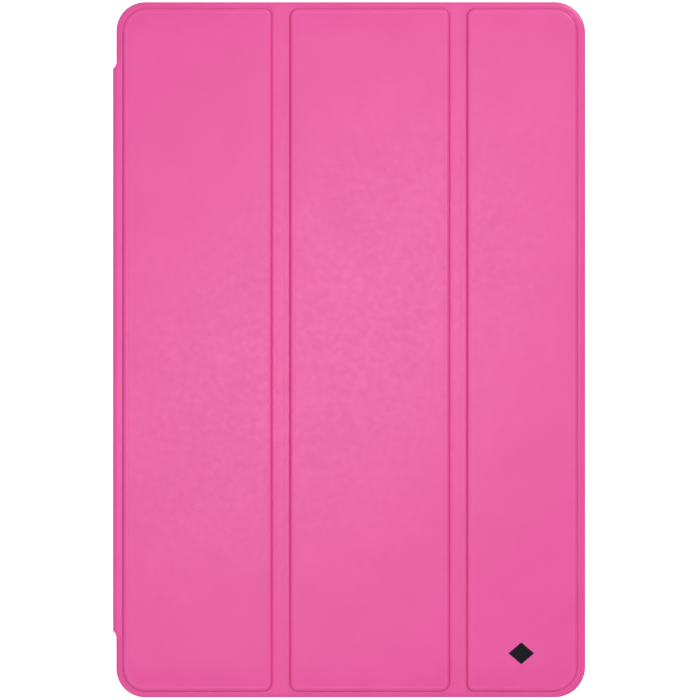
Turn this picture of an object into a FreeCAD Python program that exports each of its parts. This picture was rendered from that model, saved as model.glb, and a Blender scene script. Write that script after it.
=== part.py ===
"""Tri-fold tablet case: a stiff tray with a soft folding cover, closed, lying on its back.

Frame, in millimetres: the origin is the middle of the case's footprint on the surface that it lies on.
+X points from the spine to the free edge of the cover, +Y to the top end and +Z up through the cover.
Each sub-part is one closed solid, or a group of equal ones, in one file under parts/.
"""
import FreeCAD, Part
import os

Vector = FreeCAD.Vector

# ---- the tablet that the tray holds ----
TABLET_WIDTH = 168.7
TABLET_LENGTH = 257.1
TABLET_THICKNESS = 6.9
TABLET_CORNER_R = 9.5
TABLET_PLAY = 0.3

# ---- outline of the closed case ----
SPINE_X = -89.2
COVER_LEFT_X = -87.8
COVER_RIGHT_X = 89.2
COVER_HALF_LENGTH = 131.25
COVER_LEFT_R = 10.8
COVER_RIGHT_R = 11.5
SPINE_HALF_LENGTH = 106.4
SPINE_END_BLEND = 2.6

# ---- tray ----
TRAY_LEFT_X = -86.7
TRAY_RIGHT_X = 86.3
TRAY_WALL_END = 1.5
TRAY_FLOOR = 1.3
TRAY_LINING = 0.3
LIP_PLAY = 0.1
LIP_HEIGHT = 0.7
LIP_REACH = 0.6
BAY_FLOOR_Z = TRAY_FLOOR + TRAY_LINING
LIP_Z = BAY_FLOOR_Z + TABLET_THICKNESS + LIP_PLAY
TRAY_TOP = LIP_Z + LIP_HEIGHT
TRAY_BACK_ROUND = 1.2
RECESS_GAP = 0.1
CAMERA_X = 66.0
CAMERA_Y = 110.0
CAMERA_SIZE = 22.0
CAMERA_R = 5.0
# notches in the walls: for sound in both ends, for the plug in the bottom end, for the keys on the right
END_NOTCH = (41.0, 61.0)
PORT_HALF_WIDTH = 8.0
SIDE_CORNER_Y = 104.0
KEY_NOTCH_Y = 44.0

# ---- cover sandwich, from the inside outwards ----
LINING_GAP = 0.2
LINING = 0.5
SKIN = 0.6
BOARD = 1.3
LINING_Z = TRAY_TOP + LINING_GAP
SKIN_Z = LINING_Z + LINING
CHANNEL_Z = SKIN_Z + SKIN
RAISED_Z = CHANNEL_Z + BOARD
RAISED_ROUND = 1.1

# ---- raised panels: left edge, right edge, corner radius at each side ----
RAISED_HALF_LENGTH = 129.0
PANEL_EDGE_R = 2.8
LEFT_RAISED = (-85.4, -28.9, 8.9, PANEL_EDGE_R)
MIDDLE_RAISED = (-22.4, 38.1, PANEL_EDGE_R, PANEL_EDGE_R)
RIGHT_RAISED = (44.4, 85.9, PANEL_EDGE_R, 9.0)

# ---- folds: the strip in each channel, between its inward crease and its outward crease ----
FOLD_1_X = (LEFT_RAISED[1] + MIDDLE_RAISED[0]) / 2
FOLD_2_X = (MIDDLE_RAISED[1] + RIGHT_RAISED[0]) / 2
INWARD_CREASE = 1.75
OUTWARD_CREASE = 1.25

# ---- spine and rear flap ----
FLAP_RIGHT_X = -52.0
FLAP_CORNER_R = 6.0
FLAP_THICKNESS = 0.6
BEND_GAP = 0.1
SPINE_STIFFENER = 0.8
SPINE_LINING = 0.5

# ---- things set into the panels ----
MAGNET = (4.0, 22.0, 1.0)
MAGNET_X = 79.5
MAGNET_YS = (-96.0, -34.0, 28.0, 90.0)
WAKE_MAGNET = (8.0, 4.0, 1.0)
WAKE_MAGNET_X = 76.0
WAKE_MAGNET_Y = 58.0
KEEPER = (7.0, 60.0, 0.5)
KEEPER_X = -77.0
KEEPER_YS = (-65.0, 65.0)
MARK_X = 65.0
MARK_Y = -114.5
MARK_SIZE = (9.6, 8.2)
MARK_HEIGHT = 0.12

BAY_HALF_WIDTH = TABLET_WIDTH / 2 + TABLET_PLAY
BAY_HALF_LENGTH = TABLET_LENGTH / 2 + TABLET_PLAY
TRAY_MID_X = (TRAY_LEFT_X + TRAY_RIGHT_X) / 2
TRAY_HALF_LENGTH = BAY_HALF_LENGTH + TRAY_WALL_END
TRAY_CORNER_R = TABLET_CORNER_R + TRAY_WALL_END
# how far a cutting block runs past the face that it cuts
PAST = 1.0


def outline(x0, x1, half_length, left_r, right_r, z):
    """A rectangle about the X axis with one radius at its two left corners and one at its two right."""
    diagonal = 0.5 ** 0.5
    points = []
    for x, r, side in ((x0, left_r, 1), (x1, right_r, -1)):
        points.append((Vector(x + side * r, half_length, z),
                       Vector(x + side * r * (1 - diagonal), half_length - r * (1 - diagonal), z),
                       Vector(x, half_length - r, z), r))
    (a0, a1, a2, ra), (b0, b1, b2, rb) = points

    def lower(p):
        return Vector(p.x, -p.y, z)

    def corner(p, q, s, r):
        return [Part.Arc(p, q, s).toShape()] if r > 0 else []

    def line(p, q):
        return [Part.makeLine(p, q)]

    edges = corner(a0, a1, a2, ra) + line(a2, lower(a2)) + corner(lower(a2), lower(a1), lower(a0), ra)
    edges += line(lower(a0), lower(b0)) + corner(lower(b0), lower(b1), lower(b2), rb)
    edges += line(lower(b2), b2) + corner(b2, b1, b0, rb) + line(b0, a0)
    return Part.Wire(edges)


def slab(x0, x1, half_length, left_r, right_r, z0, z1):
    """The outline above as a plate from z0 to z1."""
    face = Part.Face(outline(x0, x1, half_length, left_r, right_r, z0))
    return face.extrude(Vector(0, 0, z1 - z0))


def box(x0, x1, y0, y1, z0, z1):
    return Part.makeBox(x1 - x0, y1 - y0, z1 - z0, Vector(x0, y0, z0))


def centred_box(size, x, y, z0):
    width, length, height = size
    return box(x - width / 2, x + width / 2, y - length / 2, y + length / 2, z0, z0 + height)


def edges_at(shape, z):
    """The edges of a plate that lie in the plane z."""
    return [e for e in shape.Edges if abs(e.BoundBox.ZMin - z) < 1e-6 and abs(e.BoundBox.ZMax - z) < 1e-6]


def save(name, shape):
    """One node: one STEP file."""
    shape = shape.removeSplitter() if shape.ShapeType != "Compound" else shape
    bad = [s for s in shape.Solids if not s.isValid() or s.Volume <= 0]
    print(f"{name}: {len(shape.Solids)} solid(s), {sum(s.Volume for s in shape.Solids):.1f} mm3"
          + (" BAD" if bad or not shape.Solids else ""))
    shape.exportStep(f"parts/{name}.step")


# ---- tray ----

def flap_recess():
    """The shallow pocket in the back of the tray that the rear flap is glued into."""
    return slab(SPINE_X - PAST, FLAP_RIGHT_X + RECESS_GAP, SPINE_HALF_LENGTH + RECESS_GAP, 0, FLAP_CORNER_R,
                -PAST, FLAP_THICKNESS)


def camera_opening():
    x0, x1 = CAMERA_X - CAMERA_SIZE / 2, CAMERA_X + CAMERA_SIZE / 2
    hole = slab(x0, x1, CAMERA_SIZE / 2, CAMERA_R, CAMERA_R, -PAST, BAY_FLOOR_Z + PAST)
    return hole.translated(Vector(0, CAMERA_Y, 0))


def back_plate():
    """The tray's floor, with a rounded lower edge, the flap's pocket and the camera opening."""
    plate = slab(TRAY_LEFT_X, TRAY_RIGHT_X, TRAY_HALF_LENGTH, TRAY_CORNER_R, TRAY_CORNER_R, 0, TRAY_FLOOR)
    plate = plate.makeFillet(TRAY_BACK_ROUND, edges_at(plate, 0))
    return plate.cut(flap_recess()).cut(camera_opening())


def wall_ring():
    """All the walls as one ring on the floor, with the lip that holds the tablet in."""
    ring = slab(TRAY_LEFT_X, TRAY_RIGHT_X, TRAY_HALF_LENGTH, TRAY_CORNER_R, TRAY_CORNER_R,
                TRAY_FLOOR, TRAY_TOP)
    bay = slab(TRAY_MID_X - BAY_HALF_WIDTH, TRAY_MID_X + BAY_HALF_WIDTH, BAY_HALF_LENGTH,
               TABLET_CORNER_R, TABLET_CORNER_R, TRAY_FLOOR, LIP_Z)
    mouth = slab(TRAY_MID_X - BAY_HALF_WIDTH + LIP_REACH, TRAY_MID_X + BAY_HALF_WIDTH - LIP_REACH,
                 BAY_HALF_LENGTH - LIP_REACH, TABLET_CORNER_R, TABLET_CORNER_R, LIP_Z, TRAY_TOP + PAST)
    return ring.cut(bay).cut(mouth)


def tray_walls():
    """The ring in lengths: four corners and the straight walls between the notches for keys and sound."""
    ring = wall_ring()
    left, right = TRAY_LEFT_X - PAST, TRAY_RIGHT_X + PAST
    end = TRAY_HALF_LENGTH + PAST
    corner_x0, corner_x1 = TRAY_MID_X - END_NOTCH[1], TRAY_MID_X + END_NOTCH[1]
    wall_x0, wall_x1 = TRAY_MID_X - END_NOTCH[0], TRAY_MID_X + END_NOTCH[0]
    lengths = {
        "tray_corner_top_left": (left, corner_x0, SIDE_CORNER_Y, end),
        "tray_corner_top_right": (corner_x1, right, SIDE_CORNER_Y, end),
        "tray_corner_bottom_left": (left, corner_x0, -end, -SIDE_CORNER_Y),
        "tray_corner_bottom_right": (corner_x1, right, -end, -SIDE_CORNER_Y),
        "tray_wall_left": (left, TRAY_MID_X, -SIDE_CORNER_Y, SIDE_CORNER_Y),
        "tray_wall_right": (TRAY_MID_X, right, -SIDE_CORNER_Y, KEY_NOTCH_Y),
        "tray_wall_top": (wall_x0, wall_x1, 0, end),
        "tray_wall_bottom_left": (wall_x0, TRAY_MID_X - PORT_HALF_WIDTH, -end, 0),
        "tray_wall_bottom_right": (TRAY_MID_X + PORT_HALF_WIDTH, wall_x1, -end, 0),
    }
    return {name: ring.common(box(x0, x1, y0, y1, 0, TRAY_TOP + PAST))
            for name, (x0, x1, y0, y1) in lengths.items()}


def tray_lining():
    """Thin felt on the tray's floor, cut away round the camera opening."""
    felt = slab(TRAY_MID_X - BAY_HALF_WIDTH + 0.5, TRAY_MID_X + BAY_HALF_WIDTH - 0.5, BAY_HALF_LENGTH - 0.5,
                TABLET_CORNER_R, TABLET_CORNER_R, TRAY_FLOOR, BAY_FLOOR_Z)
    return felt.cut(camera_opening())


# ---- spine ----

def rear_flap():
    """The end of the skin that is glued into the tray's back. It reaches out to the lower bend."""
    return slab(SPINE_X, FLAP_RIGHT_X, SPINE_HALF_LENGTH, 0, FLAP_CORNER_R, 0, FLAP_THICKNESS)


def spine_layer(start, thickness, inset):
    """One upright layer of the spine, start mm in from its outer face."""
    half = SPINE_HALF_LENGTH - inset
    return box(SPINE_X + start, SPINE_X + start + thickness, -half, half,
               FLAP_THICKNESS + BEND_GAP + inset, LINING_Z - BEND_GAP - inset)


# ---- cover ----

def tongue(z0, z1):
    """The strip along the cover's left edge that runs out over the spine, with a hollow curve at each end."""
    x0, x1, y = SPINE_X, COVER_LEFT_X + PAST, SPINE_HALF_LENGTH
    bend = Vector(COVER_LEFT_X - 0.35, y + 0.32 * SPINE_END_BLEND, z0)
    top = [Vector(COVER_LEFT_X, y + SPINE_END_BLEND, z0), bend, Vector(x0, y, z0)]
    low = [Vector(p.x, -p.y, z0) for p in top]
    edges = [Part.Arc(*top).toShape(), Part.makeLine(top[2], low[2]), Part.Arc(*low).toShape(),
             Part.makeLine(low[0], Vector(x1, low[0].y, z0)),
             Part.makeLine(Vector(x1, low[0].y, z0), Vector(x1, top[0].y, z0)),
             Part.makeLine(Vector(x1, top[0].y, z0), top[0])]
    return Part.Face(Part.Wire(Part.__sortEdges__(edges))).extrude(Vector(0, 0, z1 - z0))


def cover_plate(z0, z1):
    """The whole cover as one flat layer, with the strip that runs out over the spine."""
    plate = slab(COVER_LEFT_X, COVER_RIGHT_X, COVER_HALF_LENGTH, COVER_LEFT_R, COVER_RIGHT_R, z0, z1)
    return plate.fuse(tongue(z0, z1)).removeSplitter()


def stretch(layer, x0, x1):
    """The part of a cover layer between two lines across it."""
    limits = layer.BoundBox
    return layer.common(box(x0, x1, limits.YMin - PAST, limits.YMax + PAST,
                            limits.ZMin - PAST, limits.ZMax + PAST))


def panel_skin(raised, x0, x1):
    """The skin over one panel: a flat rim and the raised part that wraps the board."""
    left, right, left_r, right_r = raised
    rim = stretch(cover_plate(SKIN_Z, CHANNEL_Z), x0, x1)
    top = slab(left, right, RAISED_HALF_LENGTH, left_r, right_r, SKIN_Z, RAISED_Z)
    top = top.makeFillet(RAISED_ROUND, edges_at(top, RAISED_Z))
    return rim.fuse(top).cut(panel_board_block(raised))


def panel_board_block(raised):
    """The board's outer shape, which is also the hollow under the raised skin."""
    left, right, left_r, right_r = raised
    return slab(left + SKIN, right - SKIN, RAISED_HALF_LENGTH - SKIN, left_r - SKIN, right_r - SKIN,
                SKIN_Z, RAISED_Z - SKIN)


def panel_board(raised, pockets=()):
    """The stiff board, with pockets in its underside for what is set into it."""
    block = panel_board_block(raised)
    return block.cut(Part.makeCompound(list(pockets))) if pockets else block


def cover_lining(x0, x1):
    return stretch(cover_plate(LINING_Z, SKIN_Z), x0, x1)


def fold_skin(x0, x1):
    return stretch(cover_plate(SKIN_Z, CHANNEL_Z), x0, x1)


# ---- set into the panels ----

def closing_magnets():
    return [centred_box(MAGNET, MAGNET_X, y, SKIN_Z) for y in MAGNET_YS]


def wake_magnet():
    return centred_box(WAKE_MAGNET, WAKE_MAGNET_X, WAKE_MAGNET_Y, SKIN_Z)


def keeper_plates():
    return [centred_box(KEEPER, KEEPER_X, y, SKIN_Z) for y in KEEPER_YS]


def generic_mark():
    """A plain printed lozenge, low on the right panel."""
    half_x, half_y = MARK_SIZE[0] / 2, MARK_SIZE[1] / 2
    corners = [Vector(MARK_X - half_x, MARK_Y, RAISED_Z), Vector(MARK_X, MARK_Y - half_y, RAISED_Z),
               Vector(MARK_X + half_x, MARK_Y, RAISED_Z), Vector(MARK_X, MARK_Y + half_y, RAISED_Z)]
    face = Part.Face(Part.makePolygon(corners + corners[:1]))
    return face.extrude(Vector(0, 0, MARK_HEIGHT))


def build():
    os.makedirs("parts", exist_ok=True)
    fold_1 = (FOLD_1_X - INWARD_CREASE, FOLD_1_X + OUTWARD_CREASE)
    fold_2 = (FOLD_2_X - INWARD_CREASE, FOLD_2_X + OUTWARD_CREASE)

    save("back_plate", back_plate())
    for name, wall in tray_walls().items():
        save(name, wall)
    save("tray_lining", tray_lining())
    save("rear_flap", rear_flap())

    save("spine_skin", spine_layer(0, SKIN, 0))
    save("spine_stiffener", spine_layer(SKIN, SPINE_STIFFENER, 0.6))
    save("spine_lining", spine_layer(SKIN + SPINE_STIFFENER, SPINE_LINING, 0))

    panels = {
        "left_panel": (LEFT_RAISED, SPINE_X, fold_1[0], keeper_plates()),
        "middle_panel": (MIDDLE_RAISED, fold_1[1], fold_2[0], []),
        "right_panel": (RIGHT_RAISED, fold_2[1], COVER_RIGHT_X, closing_magnets() + [wake_magnet()]),
    }
    for name, (raised, x0, x1, inserts) in panels.items():
        save(f"{name}_skin", panel_skin(raised, x0, x1))
        save(f"{name}_board", panel_board(raised, inserts))
        save(f"{name}_lining", cover_lining(x0, x1))

    for name, (x0, x1) in {"fold_1": fold_1, "fold_2": fold_2}.items():
        save(f"{name}_skin", fold_skin(x0, x1))
        save(f"{name}_lining", cover_lining(x0, x1))

    save("closing_magnets", Part.makeCompound(closing_magnets()))
    save("wake_magnet", wake_magnet())
    save("stand_keeper_plates", Part.makeCompound(keeper_plates()))
    save("generic_mark", generic_mark())


build()
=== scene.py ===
"""Tri-fold tablet case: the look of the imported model, in metres, in the row frame."""
import bmesh
import bpy
import math
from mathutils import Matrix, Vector


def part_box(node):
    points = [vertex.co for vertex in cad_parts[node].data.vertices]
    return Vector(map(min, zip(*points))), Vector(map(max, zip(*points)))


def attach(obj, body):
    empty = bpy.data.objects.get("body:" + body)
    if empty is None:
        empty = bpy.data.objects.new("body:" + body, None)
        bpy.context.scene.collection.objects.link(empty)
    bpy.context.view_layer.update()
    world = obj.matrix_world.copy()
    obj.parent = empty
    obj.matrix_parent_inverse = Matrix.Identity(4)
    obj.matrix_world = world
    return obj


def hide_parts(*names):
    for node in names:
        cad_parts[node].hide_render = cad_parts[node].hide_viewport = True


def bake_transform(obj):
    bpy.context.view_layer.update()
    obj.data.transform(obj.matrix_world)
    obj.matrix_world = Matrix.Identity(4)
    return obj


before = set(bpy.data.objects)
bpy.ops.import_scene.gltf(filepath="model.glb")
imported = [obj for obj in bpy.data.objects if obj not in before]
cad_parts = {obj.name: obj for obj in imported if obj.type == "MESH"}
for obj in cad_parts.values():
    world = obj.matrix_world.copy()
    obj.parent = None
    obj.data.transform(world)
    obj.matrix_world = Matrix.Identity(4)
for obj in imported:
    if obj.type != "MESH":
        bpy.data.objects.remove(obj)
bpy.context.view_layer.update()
MM = 0.001


def node_span(name, axis):
    """Lowest and highest place of a CAD node along an axis, in millimetres."""
    low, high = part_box(name)
    return low[axis] / MM, high[axis] / MM


# ---- sizes in millimetres, read from the CAD nodes where one of them shows the size ----
COVER_RIGHT_X = node_span("right_panel_skin", 0)[1]
COVER_HALF = node_span("right_panel_skin", 1)[1]
SPINE_X = node_span("spine_skin", 0)[0]
SPINE_HALF = node_span("spine_skin", 1)[1]
SPINE_INNER_X = node_span("spine_skin", 0)[1]
STIFFENER_X = node_span("spine_stiffener", 0)[1]
SPINE_LINING_X = node_span("spine_lining", 0)[1]
LINING_Z, SKIN_Z = node_span("fold_1_lining", 2)
RIM_Z = node_span("fold_1_skin", 2)[1]
RAISED_Z = node_span("middle_panel_skin", 2)[1]
FOLD_1 = node_span("fold_1_skin", 0)
FOLD_2 = node_span("fold_2_skin", 0)
FLAP_RIGHT_X = node_span("rear_flap", 0)[1]
TRAY_LEFT_X, TRAY_RIGHT_X = node_span("back_plate", 0)
TRAY_HALF = node_span("back_plate", 1)[1]
TRAY_FLOOR_Z = node_span("back_plate", 2)[1]
TRAY_TOP_Z = node_span("tray_wall_left", 2)[1]
FELT_X = node_span("tray_lining", 0)
FELT_HALF = node_span("tray_lining", 1)[1]
FELT_Z = node_span("tray_lining", 2)
SKIN = RIM_Z - SKIN_Z
# a hair thinner than its CAD solid, so that it stays clear of the skin
LINING = 0.49

COVER_LEFT_X = -87.8
COVER_R = (10.8, 11.5)
RAISED_HALF = 129.0
PANEL_R = 3.3
# the raised part of each panel: its left and right side, and its corner radius at the left and at the right
LEFT_RAISED = (-85.4, -28.9, 8.9, PANEL_R)
MIDDLE_RAISED = (-22.4, 38.1, PANEL_R, PANEL_R)
RIGHT_RAISED = (44.4, 86.3, PANEL_R, 9.2)
TRAY_R = 11.0
# the camera opening: left, right, lower and upper side, corner radius
CAMERA = (55.0, 77.0, 99.0, 121.0, 5.0)
# notches in both ends of the tray: the speakers' nearer and farther sides, and half the port's width
NOTCH_NEAR, NOTCH_FAR, PORT_HALF = 41.0, 61.0, 8.0

# seams between the pieces of the cover: beside each raised panel, and halfway between the two creases
SEAM_GAP = 0.5
SEAM_1 = (LEFT_RAISED[1] + SEAM_GAP, sum(FOLD_1) / 2, MIDDLE_RAISED[0] - SEAM_GAP)
SEAM_2 = (MIDDLE_RAISED[1] + SEAM_GAP, sum(FOLD_2) / 2, RIGHT_RAISED[0] - SEAM_GAP)
SPINE_SEAM_Z = 5.2

# the rolled edge of the cover: distance in from the outline, height above the skin's inner face
SKIN_EDGE = ((0.35, 0.0), (0.1, 0.03), (0.0, 0.13), (0.03, 0.23), (0.16, 0.34), (0.42, 0.44),
             (0.85, 0.53), (1.3, 0.58), (1.7, 0.6))
LINING_EDGE = ((0.6, 0.48), (0.45, 0.44), (0.38, 0.3), (0.42, 0.14), (0.58, 0.03), (0.9, 0.0))
# the pressed groove at the foot of a raised panel: distance out from its wall, height above the rim
GROOVE = ((0.42, 0.0), (0.31, -0.02), (0.2, -0.06), (0.08, -0.07), (0.0, -0.03))
WALL_ROUND = 1.2
# the board's edge shows through the skin as a faint line: distance in from the wall, height above the top
BOARD_LINE = ((1.6, 0.0), (1.8, -0.022), (1.95, -0.026), (2.1, -0.018), (2.4, 0.008))
ARC_STEPS = 12
EDGE_STEPS = 14
SIDE_STEPS = 30


# ---- meshes ----

def add_mesh(name, points, faces, crease=38.0):
    """A mesh object from points in millimetres, smooth but for edges sharper than crease degrees."""
    mesh = bpy.data.meshes.new(name)
    mesh.from_pydata([tuple(MM * c for c in p) for p in points], [], faces)
    work = bmesh.new()
    work.from_mesh(mesh)
    bmesh.ops.recalc_face_normals(work, faces=work.faces)
    work.to_mesh(mesh)
    work.free()
    mesh.shade_smooth()
    mesh.set_sharp_from_angle(angle=math.radians(crease))
    obj = bpy.data.objects.new(name, mesh)
    bpy.context.scene.collection.objects.link(obj)
    return obj


def corner_points(x, side, half, r):
    """From the side to the top edge round one upper corner. With r 0 it is square, with as many points."""
    spread = PANEL_R
    points = []
    for i in range(ARC_STEPS + 1):
        t = i / ARC_STEPS
        if r > 0:
            a = t * math.pi / 2
            points.append((x + side * r * (1 - math.cos(a)), half - r * (1 - math.sin(a))))
        else:
            along, down = max(0.0, 2 * t - 1), max(0.0, 1 - 2 * t)
            points.append((x + side * spread * along, half - spread * down))
    return points


def ring(x0, x1, half, r0, r1, z):
    """Points round a rectangle about the X axis, with a radius at the left and one at the right corners."""
    left = corner_points(x0, 1, half, r0)
    right = corner_points(x1, -1, half, r1)[::-1]
    a, b = left[-1][0], right[0][0]
    top = left + [(a + (b - a) * i / EDGE_STEPS, half) for i in range(1, EDGE_STEPS)] + right
    down = [(x1, right[-1][1] * (1 - 2 * j / SIDE_STEPS)) for j in range(1, SIDE_STEPS)]
    up = [(x0, -left[0][1] * (1 - 2 * j / SIDE_STEPS)) for j in range(1, SIDE_STEPS)]
    bottom = [(x, -y) for x, y in reversed(top)]
    return [(x, y, z) for x, y in top + down + bottom + up]


def ring_columns():
    """How many points of a ring lie along its upper edge, corners included."""
    return 2 * (ARC_STEPS + 1) + EDGE_STEPS - 1


def fill(points, faces, first):
    """Closes the ring that starts at index first with columns of quads between its long edges."""
    n = ring_columns()
    total = 2 * n + 2 * (SIDE_STEPS - 1)
    columns = []
    for i in range(n):
        top, bottom = first + i, first + 2 * n + SIDE_STEPS - 2 - i
        if i == 0:
            middle = [first + total - j for j in range(1, SIDE_STEPS)]
        elif i == n - 1:
            middle = [first + n - 1 + j for j in range(1, SIDE_STEPS)]
        else:
            x, y, z = points[top]
            middle = list(range(len(points), len(points) + SIDE_STEPS - 1))
            points += [(x, y * (1 - 2 * j / SIDE_STEPS), z) for j in range(1, SIDE_STEPS)]
        columns.append([top] + middle + [bottom])
    for a, b in zip(columns, columns[1:]):
        faces += [(a[j], b[j], b[j + 1], a[j + 1]) for j in range(SIDE_STEPS)]


def ring_solid(name, rings):
    """A closed mesh through a row of rings, filled at its first and last."""
    count = len(rings[0])
    points = [p for one in rings for p in one]
    faces = []
    for k in range(len(rings) - 1):
        a, b = k * count, (k + 1) * count
        faces += [(a + i, a + (i + 1) % count, b + (i + 1) % count, b + i) for i in range(count)]
    fill(points, faces, 0)
    fill(points, faces, (len(rings) - 1) * count)
    return add_mesh(name, points, faces)


def shell(name, outer, inner, half, fractions, shift=None):
    """A thin sheet from the section of its outer and inner face, each a row of places in the X-Z plane.

    half is the sheet's half length, or a function that gives it at a place. A place of the inner face may
    be a function of where along the length it is, and shift moves each point at the end.
    """
    points = []
    for side, section in enumerate((outer, inner)):
        for k, place in enumerate(section):
            for v in fractions:
                x, z = place(v) if callable(place) else place
                y = v * (half(outer[k]) if callable(half) else half)
                point = (x, y, z)
                points.append(shift(point, side) if shift else point)
    rows, columns = len(outer), len(fractions)

    def at(side, k, j):
        return (side * rows + k) * columns + j

    faces = []
    for k in range(rows - 1):
        for j in range(columns - 1):
            faces.append((at(0, k, j), at(0, k + 1, j), at(0, k + 1, j + 1), at(0, k, j + 1)))
            faces.append((at(1, k, j), at(1, k, j + 1), at(1, k + 1, j + 1), at(1, k + 1, j)))
        for j in (0, columns - 1):
            faces.append((at(0, k, j), at(0, k + 1, j), at(1, k + 1, j), at(1, k, j)))
    for k in (0, rows - 1):
        for j in range(columns - 1):
            faces.append((at(0, k, j), at(0, k, j + 1), at(1, k, j + 1), at(1, k, j)))
    return add_mesh(name, points, faces)


def arc(x, z, r, start, end, steps=8):
    """Points on an arc in the X-Z plane, angles in degrees from +X towards +Z."""
    angles = [math.radians(start + (end - start) * i / steps) for i in range(steps + 1)]
    return [(x + r * math.cos(a), z + r * math.sin(a)) for a in angles]


def end_fractions(ends, steps):
    """Places along a length from -1 to 1, close together near both ends."""
    last = ends[-1]
    inner = [last * (1 - 2 * i / steps) for i in range(1, steps)]
    upper = list(ends)
    return upper + inner + [-v for v in reversed(upper)]


def smooth(t):
    t = min(1.0, max(0.0, t))
    return t * t * (3 - 2 * t)


# ---- the cover's panels ----

def outline_ring(x0, x1, r0, r1, inset, z):
    """A panel's outline, moved in by inset. A side with radius 0 is a seam beside a fold, and stays."""
    a, b = (inset if r0 else 0.0), (inset if r1 else 0.0)
    return ring(x0 + a, x1 - b, COVER_HALF - inset, r0 and r0 - inset, r1 and r1 - inset, z)


def panel_skin(name, raised, x0, x1, r0, r1):
    """The skin over one panel: a hollow for the board, a rolled rim, a wall and the raised top."""
    left, right, raised_r0, raised_r1 = raised
    clear, least_r = 0.04, 0.3

    def raised_ring(out, z):
        left_r, right_r = max(least_r, raised_r0 + out), max(least_r, raised_r1 + out)
        return ring(left - out, right + out, RAISED_HALF + out, left_r, right_r, z)

    rings = [raised_ring(clear - SKIN, RAISED_Z - SKIN + clear), raised_ring(clear - SKIN, SKIN_Z)]
    rings += [outline_ring(x0, x1, r0, r1, inset, SKIN_Z + z) for inset, z in SKIN_EDGE]
    rings += [raised_ring(out, RIM_Z + z) for out, z in GROOVE]
    for x, z in arc(WALL_ROUND + clear, RAISED_Z - WALL_ROUND, WALL_ROUND, 180, 90):
        rings.append(raised_ring(-x, z))
    rings += [raised_ring(-inset, RAISED_Z + z) for inset, z in BOARD_LINE]
    return ring_solid(name, rings)


def panel_lining(name, x0, x1, r0, r1):
    """The soft lining inside one panel, with its edge rolled towards the skin."""
    def middle_ring(z):
        inset, r = 4.0, 6.0
        return ring(x0 + inset, x1 - inset, COVER_HALF - inset, r, r, z)

    rings = [middle_ring(LINING_Z + LINING)]
    rings += [outline_ring(x0, x1, r0, r1, inset, LINING_Z + z) for inset, z in LINING_EDGE]
    rings.append(middle_ring(LINING_Z))
    return ring_solid(name, rings)


def fold_strip(name, x0, x1, edge, base_z, back_z, crease_x, outwards):
    """The part of a fold between two seams: a sheet with rolled ends and fine creases along it."""
    steps, rows = 22, 28
    crease_depth, second_depth, second_at = 0.035, 0.014, 0.75
    flat_half = COVER_HALF - 2.4
    flat = [flat_half * (1 - 2 * i / rows) for i in range(rows + 1)]
    points, faces = [], []
    for i in range(steps + 1):
        x = x0 + (x1 - x0) * i / steps
        depth = crease_depth * math.exp(-((x - crease_x) / 0.22) ** 2)
        depth += second_depth * math.exp(-((x - crease_x - second_at) / 0.15) ** 2)
        depth *= smooth(min(x - x0, x1 - x) / 0.3)
        rolled = [(COVER_HALF - d, base_z + h) for d, h in edge]
        points += [(x, y, z) for y, z in rolled]
        points += [(x, y, base_z + edge[-1][1] - outwards * depth) for y in flat]
        points += [(x, -y, z) for y, z in reversed(rolled)]
        points += [(x, -y, back_z) for y in flat]
    count = len(points) // (steps + 1)
    for i in range(steps):
        a, b = i * count, (i + 1) * count
        faces += [(a + j, a + (j + 1) % count, b + (j + 1) % count, b + j) for j in range(count)]
    faces += [tuple(range(count)), tuple(range(steps * count, (steps + 1) * count))]
    return add_mesh(name, points, faces)


# ---- the spine ----

def tongue_half(place):
    """Half length of the spine's skin: it widens in a hollow curve where it runs into the cover's edge."""
    run_out = 2.3
    across = (place[0] - SPINE_X) / (COVER_LEFT_X - SPINE_X)
    if across >= 1:
        return SPINE_HALF + run_out + 0.7 * (place[0] - COVER_LEFT_X)
    return SPINE_HALF + run_out * (1 - math.sqrt(1 - max(0.0, across) ** 2))


def settle(point, side):
    """Small folds near both ends of the spine, and the ends and the inner edge pressed down onto the rim."""
    x, y, z = point
    if side == 1:
        return point
    from_end = tongue_half((x, z)) - abs(y)
    pressed_in, fold_height, bow = 0.13, 0.07, 0.05
    over_rim = smooth((x - COVER_LEFT_X + 0.5) / 0.8)
    z -= over_rim * pressed_in * smooth(1 - from_end / 2.6)
    ridge = (x - SPINE_X) * 1.35 - (SPINE_HALF - 2.2 - abs(y))
    wave = math.exp(-((ridge - 1.2) / 0.55) ** 2) + 0.8 * math.exp(-((ridge + 1.6) / 0.6) ** 2)
    top = smooth((z - RIM_Z + 1.0) / 0.8)
    z += fold_height * wave * top * smooth((x - SPINE_X) / 0.8)
    x -= bow * top * math.sin(abs(y) * 0.045) ** 2
    return (x, y, z)


# places along the spine's length at which its skin has points, from one end inwards
SPINE_ENDS = (1.0, 0.9993, 0.997, 0.9948, 0.9942) + tuple(0.99 - 0.004 * i for i in range(18))
TURNED_IN_FROM = 0.9945
LAP = 0.02


def spine_inside(z):
    """A place on the inner face of the spine's skin, which is turned in over the stiffener's ends."""
    def place(v):
        x = STIFFENER_X if abs(v) > TURNED_IN_FROM else SPINE_INNER_X - LAP
        return x, z
    return place


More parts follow.
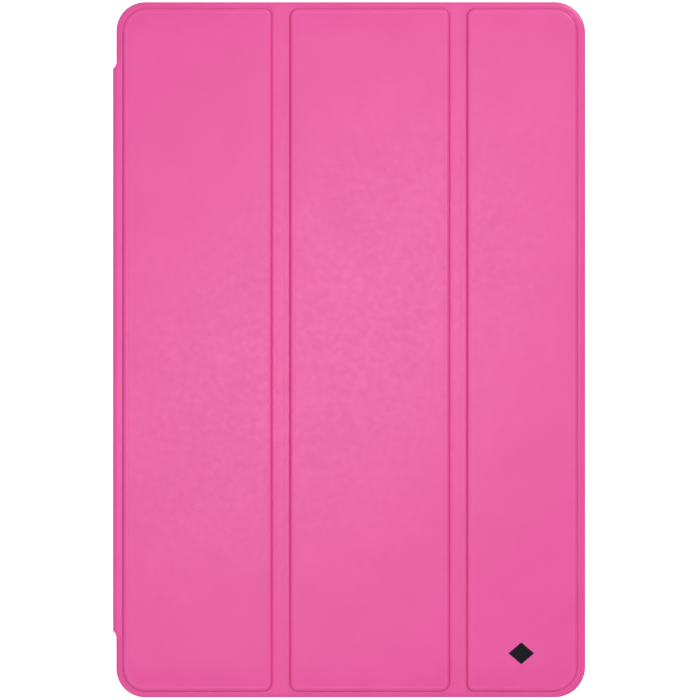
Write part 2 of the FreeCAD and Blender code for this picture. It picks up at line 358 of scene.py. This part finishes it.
def upper_spine():
    """From the foot of the left panel, over the shoulder and halfway down the spine."""
    lift = 0.03
    shoulder_r = 1.6
    top_z = RIM_Z + lift
    lower = (8.6, 8.0, 7.0, 6.1, SPINE_SEAM_Z)
    outer = [(-85.45, RIM_Z - 0.1), (-85.6, top_z - 0.03), (-85.9, top_z), (-86.6, top_z), (-87.2, top_z)]
    outer += arc(SPINE_X + shoulder_r, top_z - shoulder_r, shoulder_r, 90, 180, 10)
    outer += [(SPINE_X, z) for z in lower]
    inner = [(x, top_z - SKIN) for x, z in outer[:5]]
    inner += arc(SPINE_X + shoulder_r, top_z - shoulder_r, shoulder_r - SKIN, 90, 180, 10)
    inner += [spine_inside(z) for z in lower]
    obj = shell("spine_skin_upper", outer, inner, tongue_half, end_fractions(SPINE_ENDS, 60), settle)
    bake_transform(obj)
    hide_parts("spine_skin")
    return obj


def flap_half(place):
    """Half length of the rear flap and the lower spine, with round corners at the flap's free end."""
    r = 6.0
    into = place[0] - (FLAP_RIGHT_X - r)
    if into <= 0:
        return SPINE_HALF
    return SPINE_HALF - r + math.sqrt(max(0.0, r ** 2 - into ** 2))


def lower_spine():
    """The rear flap, the lower bend and the lower half of the spine."""
    round_r = 0.5
    from_free_end = (0.0, 0.08, 0.4, 1.0, 2.0, 3.5, 6.0, 12.0, 20.0, 28.0, 34.0, 36.0, 36.5)
    upright = (1.3, 2.6, 3.9, SPINE_SEAM_Z)
    flap_xs = [FLAP_RIGHT_X - d for d in from_free_end]
    outer = [(x, 0.12 if i == 0 else 0.0) for i, x in enumerate(flap_xs)]
    outer += arc(SPINE_X + round_r, round_r, round_r, 270, 180, 6)
    outer += [(SPINE_X, z) for z in (0.7, 1.0) + upright]
    inner = [(x, SKIN - (0.06 if i == 0 else 0.0)) for i, x in enumerate(flap_xs)]
    inner += arc(SPINE_INNER_X + 0.1, SKIN + 0.1, 0.1, 270, 180, 6)
    inner += [(SPINE_INNER_X - LAP, z) for z in (0.85, 1.0)]
    inner += [spine_inside(z) for z in upright]
    obj = shell("rear_flap_and_lower_spine", outer, inner, flap_half, end_fractions(SPINE_ENDS, 60))
    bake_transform(obj)
    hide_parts("rear_flap", "spine_skin")
    return obj


def spine_lining():
    """The lining up the inside of the spine, tucked over the lining of the left panel."""
    bend_r = 0.8
    tuck_z = LINING_Z - 0.03
    low = (0.85, 1.1)
    upright = (2.5, 4.0, 5.5, 7.0, 8.2)
    shown = [(SPINE_LINING_X - 0.25, low[0]), (SPINE_LINING_X, low[1])]
    shown += [(SPINE_LINING_X, z) for z in upright]
    shown += arc(SPINE_LINING_X + bend_r, tuck_z - bend_r, bend_r, 180, 90)
    shown += [(-86.0, tuck_z), (-85.6, LINING_Z + 0.1)]
    hidden = [(STIFFENER_X, z) for z in low + upright]
    hidden += arc(SPINE_LINING_X + bend_r, tuck_z - bend_r, bend_r + 0.5, 180, 90)
    hidden += [(-86.0, tuck_z + 0.5), (-85.6, tuck_z + 0.5)]
    fractions = end_fractions((1.0, 0.9985, 0.99), 40)
    obj = shell("spine_lining_sheet", shown, hidden, SPINE_HALF - 0.25, fractions)
    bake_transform(obj)
    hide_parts("spine_lining")
    return obj


def spine_hem():
    """The lining turned in under the stiffener. It shows when the spine swings behind the tray."""
    foot = node_span("spine_stiffener", 2)[0]
    low = SKIN + 0.03
    x0, x1 = SPINE_INNER_X - 0.3, SPINE_LINING_X
    turned = [(x0, foot), (x0 + 0.04, low + 0.05), (x0 + 0.15, low)]
    turned += [(x1 - 0.2, low), (x1 - 0.06, low + 0.06), (x1, foot)]
    hidden = [(x, foot + 0.3) for x, z in turned]
    fractions = end_fractions((1.0, 0.9985, 0.99), 40)
    obj = shell("spine_lining_hem", turned, hidden, SPINE_HALF - 0.2, fractions)
    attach(obj, "spine")
    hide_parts("spine_lining")
    return obj


# ---- the tray ----

def steps_along(length):
    """Distances along a straight wall, close together near its ends."""
    near = [0.0, 0.12, 0.4, 0.9, 1.4, 2.0]
    count = max(2, int(length / 8))
    between = [2.0 + (length - 4.0) * i / count for i in range(1, count)]
    return near + between + [length - d for d in reversed(near)]


def wall_line(start, end):
    """Places and outward normals along a straight wall, walked anticlockwise seen from above."""
    (ax, ay), (bx, by) = start, end
    length = math.hypot(bx - ax, by - ay)
    ux, uy = (bx - ax) / length, (by - ay) / length
    return [(ax + ux * s, ay + uy * s, uy, -ux) for s in steps_along(length)]


def wall_corner(x, y, start):
    """Places and outward normals round a corner whose centre is x, y, from the angle start on."""
    steps = 16
    places = []
    for i in range(1, steps):
        a = math.radians(start + 90 * i / steps)
        places.append((x + TRAY_R * math.cos(a), y + TRAY_R * math.sin(a), math.cos(a), math.sin(a)))
    return places


# the tray's wall and its lip: distance in from the outer face, height above the tray's floor
WALL_SECTION = ((0.0, 0.0), (0.0, 4.0), (0.0, 7.55), (0.07, 7.78), (0.25, 7.94), (0.5, 8.0),
                (1.65, 8.0), (1.95, 7.93), (2.1, 7.75), (2.1, 7.5), (1.98, 7.36), (1.6, 7.28),
                (1.5, 7.15), (1.5, 4.0), (1.5, 0.0))


def wall_stretch(places, points, faces):
    """One length of wall with a retaining lip, and with rounded upper corners at both its ends."""
    first = len(points)
    run = [0.0]
    for a, b in zip(places, places[1:]):
        run.append(run[-1] + math.hypot(b[0] - a[0], b[1] - a[1]))
    height = TRAY_TOP_Z - TRAY_FLOOR_Z
    round_r, low = 2.0, 4.0
    for (x, y, nx, ny), s in zip(places, run):
        into = min(s, run[-1] - s, round_r)
        top = height - round_r + math.sqrt(round_r ** 2 - (round_r - into) ** 2)
        for inset, z in WALL_SECTION:
            if z > low:
                z = low + (z - low) * (top - low) / (height - low)
            points.append((x - nx * inset, y - ny * inset, TRAY_FLOOR_Z + z))
    n = len(WALL_SECTION)
    for k in range(len(places) - 1):
        a, b = first + k * n, first + (k + 1) * n
        faces += [(a + j, a + (j + 1) % n, b + (j + 1) % n, b + j) for j in range(n)]
    last = first + (len(places) - 1) * n
    faces += [tuple(range(first, first + n)), tuple(range(last, last + n))]


def tray_walls():
    """Every length of wall of the tray as one piece."""
    x0, x1, half, r = TRAY_LEFT_X, TRAY_RIGHT_X, TRAY_HALF, TRAY_R
    mid = (x0 + x1) / 2
    near, far, port = NOTCH_NEAR, NOTCH_FAR, PORT_HALF
    key_low = node_span("tray_wall_right", 1)[1]
    key_high = node_span("tray_corner_top_right", 1)[0]
    stretches = [
        wall_line((mid + far, -half), (x1 - r, -half)) + wall_corner(x1 - r, -half + r, -90)
        + wall_line((x1, -half + r), (x1, key_low)),
        wall_line((x1, key_high), (x1, half - r)) + wall_corner(x1 - r, half - r, 0)
        + wall_line((x1 - r, half), (mid + far, half)),
        wall_line((mid + near, half), (mid - near, half)),
        wall_line((mid - far, half), (x0 + r, half)) + wall_corner(x0 + r, half - r, 90)
        + wall_line((x0, half - r), (x0, -half + r)) + wall_corner(x0 + r, -half + r, 180)
        + wall_line((x0 + r, -half), (mid - far, -half)),
        wall_line((mid - near, -half), (mid - port, -half)),
        wall_line((mid + port, -half), (mid + near, -half)),
    ]
    points, faces = [], []
    for places in stretches:
        wall_stretch(places, points, faces)
    obj = add_mesh("tray_walls", points, faces, 50.0)
    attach(obj, "tray")
    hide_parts(*[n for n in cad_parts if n.startswith(("tray_wall", "tray_corner"))])
    return obj


def rounded_loop(x0, x1, y0, y1, r):
    """Points round a rectangle with round corners, anticlockwise."""
    loop = []
    steps = 8
    corners = ((x1 - r, y0 + r, -90), (x1 - r, y1 - r, 0), (x0 + r, y1 - r, 90), (x0 + r, y0 + r, 180))
    for x, y, start in corners:
        for i in range(steps + 1):
            a = math.radians(start + 90 * i / steps)
            loop.append((x + r * math.cos(a), y + r * math.sin(a)))
    return loop


def tray_felt():
    """The felt on the tray's floor, with the camera opening cut out of it."""
    felt_r, gap = 9.5, 0.4
    work = bmesh.new()
    x0, x1, y0, y1, r = CAMERA
    edges = []
    outer = rounded_loop(FELT_X[0], FELT_X[1], -FELT_HALF, FELT_HALF, felt_r)
    for loop in (outer, rounded_loop(x0 - gap, x1 + gap, y0 - gap, y1 + gap, r + gap)):
        verts = [work.verts.new((x * MM, y * MM, FELT_Z[1] * MM)) for x, y in loop]
        edges += [work.edges.new((verts[i], verts[(i + 1) % len(verts)])) for i in range(len(verts))]
    bmesh.ops.triangle_fill(work, edges=edges, use_beauty=True)
    made = bmesh.ops.extrude_face_region(work, geom=list(work.faces))
    for item in made["geom"]:
        if isinstance(item, bmesh.types.BMVert):
            item.co.z = (FELT_Z[0] + 0.01) * MM
    bmesh.ops.recalc_face_normals(work, faces=work.faces)
    mesh = bpy.data.meshes.new("tray_felt_sheet")
    work.to_mesh(mesh)
    work.free()
    obj = bpy.data.objects.new("tray_felt_sheet", mesh)
    bpy.context.scene.collection.objects.link(obj)
    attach(obj, "tray")
    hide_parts("tray_lining")
    return obj


# ---- materials ----

class Nodes:
    """A short way to lay out a node material."""

    def __init__(self, name):
        self.material = bpy.data.materials.new(name)
        self.material.use_nodes = True
        self.tree = self.material.node_tree
        self.shader = self.tree.nodes["Principled BSDF"]
        self.coords = self.tree.nodes.new("ShaderNodeTexCoord").outputs["Object"]

    def add(self, kind, **values):
        node = self.tree.nodes.new(kind)
        for key, value in values.items():
            setattr(node, key, value)
        return node

    def link(self, a, b):
        self.tree.links.new(a, b)

    def stretch(self, scale):
        """Object coordinates scaled apart along the three axes."""
        node = self.add("ShaderNodeMapping")
        node.inputs["Scale"].default_value = scale
        self.link(self.coords, node.inputs["Vector"])
        return node.outputs["Vector"]

    def noise(self, scale, detail=3.0, roughness=0.55, vector=None):
        node = self.add("ShaderNodeTexNoise")
        node.inputs["Scale"].default_value = scale
        node.inputs["Detail"].default_value = detail
        node.inputs["Roughness"].default_value = roughness
        self.link(vector or self.coords, node.inputs["Vector"])
        return node.outputs["Fac"]

    def cells(self, scale):
        node = self.add("ShaderNodeTexVoronoi", feature="SMOOTH_F1")
        node.inputs["Scale"].default_value = scale
        self.link(self.coords, node.inputs["Vector"])
        return node.outputs["Distance"]

    def colours(self, value, stops):
        """A colour ramp from value, with (place, colour) stops."""
        ramp = self.add("ShaderNodeValToRGB")
        elements = ramp.color_ramp.elements
        for i in (0, -1):
            place, colour = stops[i]
            elements[i].position = place
            elements[i].color = (*colour, 1)
        for place, colour in stops[1:-1]:
            elements.new(place).color = (*colour, 1)
        self.link(value, ramp.inputs["Fac"])
        self.link(ramp.outputs["Color"], self.shader.inputs["Base Color"])
        return ramp.outputs["Color"]

    def tint(self, low, high, stops):
        """Multiplies the base colour by a ramp over heights from low to high, in metres."""
        base = self.shader.inputs["Base Color"].links[0].from_socket
        height = self.add("ShaderNodeSeparateXYZ")
        self.link(self.coords, height.inputs["Vector"])
        along = self.add("ShaderNodeMapRange")
        along.inputs["From Min"].default_value = low
        along.inputs["From Max"].default_value = high
        self.link(height.outputs["Z"], along.inputs["Value"])
        ramp = self.colours(along.outputs["Result"], stops)
        mix = self.add("ShaderNodeMix", data_type="RGBA", blend_type="MULTIPLY")
        mix.inputs["Factor"].default_value = 1.0
        self.link(base, mix.inputs["A"])
        self.link(ramp, mix.inputs["B"])
        self.link(mix.outputs["Result"], self.shader.inputs["Base Color"])

    def range(self, value, low, high, socket):
        """value from 0.3 to 0.7 sets a shader socket from low to high."""
        node = self.add("ShaderNodeMapRange")
        node.inputs["From Min"].default_value = 0.3
        node.inputs["From Max"].default_value = 0.7
        node.inputs["To Min"].default_value = low
        node.inputs["To Max"].default_value = high
        self.link(value, node.inputs["Value"])
        self.link(node.outputs["Result"], self.shader.inputs[socket])

    def bump(self, height, depth, strength=1.0, under=None):
        node = self.add("ShaderNodeBump")
        node.inputs["Strength"].default_value = strength
        node.inputs["Distance"].default_value = depth
        self.link(height, node.inputs["Height"])
        if under:
            self.link(under, node.inputs["Normal"])
        self.link(node.outputs["Normal"], self.shader.inputs["Normal"])
        return node.outputs["Normal"]

    def set(self, **values):
        for key, value in values.items():
            self.shader.inputs[key.replace("_", " ")].default_value = value
        return self.material


def soft_touch_skin(name, painted_shade=False):
    """Fine-grained synthetic leather, satin and faintly mottled. Over a board, painted shade greys its
    rolled edge and deepens its raised wall to a darker pink.
    """
    n = Nodes(name)
    n.colours(n.noise(55.0, 4.0), ((0.3, (0.8, 0.078, 0.338)), (0.7, (0.83, 0.087, 0.356))))
    n.range(n.noise(400.0, 3.0), 0.32, 0.4, "Roughness")
    under = n.bump(n.noise(160.0, 2.0), 0.00004, 0.35)
    if painted_shade:
        # painted shade: the rolled edge below the rim is tinted grey-mauve and the raised panel's wall a
        # deeper pink, where shade falls on them
        low, high = (RIM_Z - 0.4) * MM, (RAISED_Z + 0.1) * MM
        edge, wall, plain = (0.86, 0.84, 0.88), (0.86, 0.44, 0.7), (1.0, 1.0, 1.0)
        n.tint(low, high, ((0.05, edge), (0.2, plain), (0.27, wall), (0.6, wall), (0.85, plain)))
    streaks = n.bump(n.noise(1.0, 3.0, 0.6, n.stretch((2600.0, 40.0, 900.0))), 0.00001, 0.5, under)
    n.bump(n.cells(2300.0), 0.00003, 0.5, streaks)
    return n.set(Specular_IOR_Level=0.42, Sheen_Weight=0.05, Sheen_Roughness=0.5)


def microfibre():
    """Brushed lining with a nap that lies in patches."""
    n = Nodes("microfibre")
    dark, middle, light = (0.56, 0.085, 0.25), (0.64, 0.11, 0.3), (0.7, 0.13, 0.345)
    n.colours(n.noise(70.0, 5.0, 0.65), ((0.32, dark), (0.5, middle), (0.68, light)))
    n.range(n.noise(1500.0), 0.85, 0.98, "Roughness")
    under = n.bump(n.noise(900.0, 4.0, 0.7, n.stretch((1.0, 0.35, 1.0))), 0.0001, 0.5)
    n.bump(n.noise(5200.0, 2.0), 0.00006, 0.5, under)
    return n.set(Sheen_Weight=0.55, Sheen_Roughness=0.35, Specular_IOR_Level=0.15)


def moulded_plastic():
    """Matt moulded shell with a fine spark-eroded texture."""
    n = Nodes("moulded_plastic")
    n.colours(n.noise(40.0, 3.0), ((0.3, (0.74, 0.105, 0.32)), (0.7, (0.79, 0.125, 0.355))))
    n.range(n.noise(900.0, 4.0), 0.4, 0.56, "Roughness")
    n.bump(n.noise(4200.0, 3.0), 0.00003, 0.45)
    return n.set(Specular_IOR_Level=0.5)


def felt():
    """Short felt: loose fibres lying every way."""
    n = Nodes("felt")
    dark, middle, light = (0.42, 0.07, 0.19), (0.5, 0.09, 0.235), (0.56, 0.11, 0.27)
    n.colours(n.noise(260.0, 6.0, 0.75), ((0.34, dark), (0.5, middle), (0.66, light)))
    n.range(n.noise(1100.0), 0.9, 1.0, "Roughness")
    under = n.bump(n.noise(1800.0, 5.0, 0.8, n.stretch((1.0, 0.4, 1.0))), 0.00015, 0.6)
    n.bump(n.noise(1600.0, 4.0, 0.8, n.stretch((0.4, 1.0, 1.0))), 0.00012, 0.5, under)
    return n.set(Sheen_Weight=0.4, Sheen_Roughness=0.5, Specular_IOR_Level=0.1)


def fibre_board():
    """Pressed board with fibres that lie along the X axis."""
    n = Nodes("fibre_board")
    fibres = n.noise(1.0, 4.0, 0.6, n.stretch((300.0, 1800.0, 300.0)))
    n.colours(fibres, ((0.35, (0.5, 0.5, 0.47)), (0.65, (0.64, 0.64, 0.61))))
    n.range(n.noise(700.0), 0.6, 0.75, "Roughness")
    n.bump(n.noise(1.0, 3.0, 0.6, n.stretch((400.0, 2400.0, 400.0))), 0.00003, 0.5)
    return n.set()


def metal(name, low, high, scale, rough):
    """Metal with marks of the given scale, between two colours and two roughnesses."""
    n = Nodes(name)
    n.colours(n.noise(1.0, 4.0, 0.6, n.stretch(scale)), ((0.35, low), (0.65, high)))
    n.range(n.noise(1.0, 3.0, 0.6, n.stretch(scale)), rough[0], rough[1], "Roughness")
    n.bump(n.noise(1.0, 2.0, 0.5, n.stretch(scale)), 0.00001, 0.3)
    return n.set(Metallic=1.0)


def printed_ink():
    """Black ink, slightly uneven."""
    n = Nodes("printed_ink")
    n.colours(n.noise(900.0, 3.0), ((0.35, (0.0045, 0.005, 0.0075)), (0.65, (0.0065, 0.007, 0.01))))
    n.range(n.noise(2500.0), 0.5, 0.62, "Roughness")
    n.bump(n.noise(5000.0), 0.00001, 0.3)
    return n.set(Specular_IOR_Level=0.12)


def floor_paint():
    """White paint with a glow of its own, so that no shadow of the case greys it."""
    n = Nodes("floor_paint")
    n.colours(n.noise(3.0, 2.0), ((0.3, (0.93, 0.93, 0.93)), (0.7, (0.94, 0.94, 0.94))))
    n.range(n.noise(30.0), 0.85, 0.9, "Roughness")
    return n.set(Specular_IOR_Level=0.1, Emission_Color=(1, 1, 1, 1), Emission_Strength=0.6)


# ---- the object ----

def dress(obj, material):
    """Gives a piece its one material."""
    obj.data.materials.clear()
    obj.data.materials.append(material)


def build_cover(panel_leather, skin, lining):
    """Panels that ride rigidly, and between them the strips of the folds."""
    r_left, r_right = COVER_R
    panels = (
        ("left_panel", LEFT_RAISED, COVER_LEFT_X, SEAM_1[0], r_left, 0),
        ("middle_panel", MIDDLE_RAISED, SEAM_1[2], SEAM_2[0], 0, 0),
        ("right_panel", RIGHT_RAISED, SEAM_2[2], COVER_RIGHT_X, 0, r_right),
    )
    for body, raised, x0, x1, r0, r1 in panels:
        piece = panel_skin(f"{body}_soft_skin", raised, x0, x1, r0, r1)
        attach(piece, body)
        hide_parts(f"{body}_skin")
        dress(piece, panel_leather)
        piece = panel_lining(f"{body}_soft_lining", x0, x1, r0, r1)
        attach(piece, body)
        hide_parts(f"{body}_lining")
        dress(piece, lining)

    folds = (
        ("fold_1", SEAM_1, FOLD_1, "left_panel", "middle_panel"),
        ("fold_2", SEAM_2, FOLD_2, "middle_panel", "right_panel"),
    )
    for fold, seam, creases, before, after in folds:
        strips = (
            ("inward", seam[0], seam[1], creases[0], before, fold),
            ("outward", seam[1], seam[2], creases[1], fold, after),
        )
        for kind, x0, x1, crease_x, a, b in strips:
            piece = fold_strip(f"{fold}_{kind}_skin", x0, x1, SKIN_EDGE, SKIN_Z, SKIN_Z, crease_x, 1)
            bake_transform(piece)
            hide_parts(f"{fold}_skin")
            dress(piece, skin)
            back_z = LINING_Z + LINING
            piece = fold_strip(f"{fold}_{kind}_lining", x0, x1, LINING_EDGE, LINING_Z, back_z, crease_x, -1)
            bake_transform(piece)
            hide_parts(f"{fold}_lining")
            dress(piece, lining)


def build_object():
    skin, lining = soft_touch_skin("soft_touch_skin"), microfibre()
    # the panels' skin carries painted shade on its rolled edge and on the walls of its raised parts
    build_cover(soft_touch_skin("soft_touch_panel_skin", painted_shade=True), skin, lining)
    dress(upper_spine(), skin)
    dress(lower_spine(), skin)
    dress(spine_lining(), lining)
    dress(spine_hem(), lining)
    plastic, board = moulded_plastic(), fibre_board()
    dress(tray_walls(), plastic)
    dress(tray_felt(), felt())
    even, drawn_out = (300.0, 300.0, 300.0), (2400.0, 60.0, 300.0)
    nickel = metal("nickel", (0.66, 0.66, 0.67), (0.76, 0.76, 0.78), even, (0.16, 0.26))
    rolled = metal("rolled_steel", (0.42, 0.43, 0.44), (0.55, 0.56, 0.57), drawn_out, (0.3, 0.42))
    ink = printed_ink()
    finishes = {
        "back_plate": (plastic, "tray_plastic"), "spine_stiffener": (board, "board"),
        "left_panel_board": (board, "board"), "middle_panel_board": (board, "board"),
        "right_panel_board": (board, "board"), "closing_magnets": (nickel, "magnet_steel"),
        "wake_magnet": (nickel, "magnet_steel"), "stand_keeper_plates": (rolled, "keeper_steel"),
        "generic_mark": (ink, "mark_ink"),
    }
    for node, (material, slot) in finishes.items():
        dress(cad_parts[node], material)


# ---- stage, light and camera ----

# the floor lies well below the case, so that the cover shows where it hangs or folds behind the tray
FLOOR_Z = -0.2
FLOOR_SIZE = 40.0
WORLD_STRENGTH = 0.39


def build_stage():
    bpy.ops.mesh.primitive_plane_add(size=FLOOR_SIZE, location=(0, 0, FLOOR_Z))
    floor = bpy.context.object
    floor.name = "floor"
    floor.data.materials.append(floor_paint())


def area_light(name, place, width, depth, power):
    """A soft box that faces the middle of the case."""
    data = bpy.data.lights.new(name, "AREA")
    data.shape = "RECTANGLE"
    data.size, data.size_y, data.energy = width, depth, power
    light = bpy.data.objects.new(name, data)
    light.location = place
    light.rotation_euler = Vector(place).to_track_quat("Z", "Y").to_euler()
    bpy.context.scene.collection.objects.link(light)


def build_light():
    world = bpy.data.worlds.new("studio")
    world.use_nodes = True
    background = world.node_tree.nodes["Background"]
    background.inputs["Color"].default_value = (1, 1, 1, 1)
    background.inputs["Strength"].default_value = WORLD_STRENGTH
    bpy.context.scene.world = world
    area_light("key", (0.75, 0.95, 1.6), 0.5, 0.5, 15.5)
    area_light("fill", (-0.9, -1.1, 1.3), 0.8, 0.8, 6.5)
    area_light("overhead", (-0.01, 0.01, 0.7), 0.3, 0.06, 0.9)


def build_camera():
    """Straight above, with the spine at the left and the top end at the top of the picture."""
    distance, width = 1.6, 0.26425
    data = bpy.data.cameras.new("camera")
    data.type = "PERSP"
    data.lens = data.sensor_width * distance / width
    data.clip_start, data.clip_end = 0.05, 20.0
    camera = bpy.data.objects.new("camera", data)
    camera.location = (0.0004, -0.0001, distance + RIM_Z * MM)
    bpy.context.scene.collection.objects.link(camera)
    bpy.context.scene.camera = camera


build_object()
bpy.context.scene.view_settings.view_transform = "Standard"
build_stage()
build_light()
build_camera()
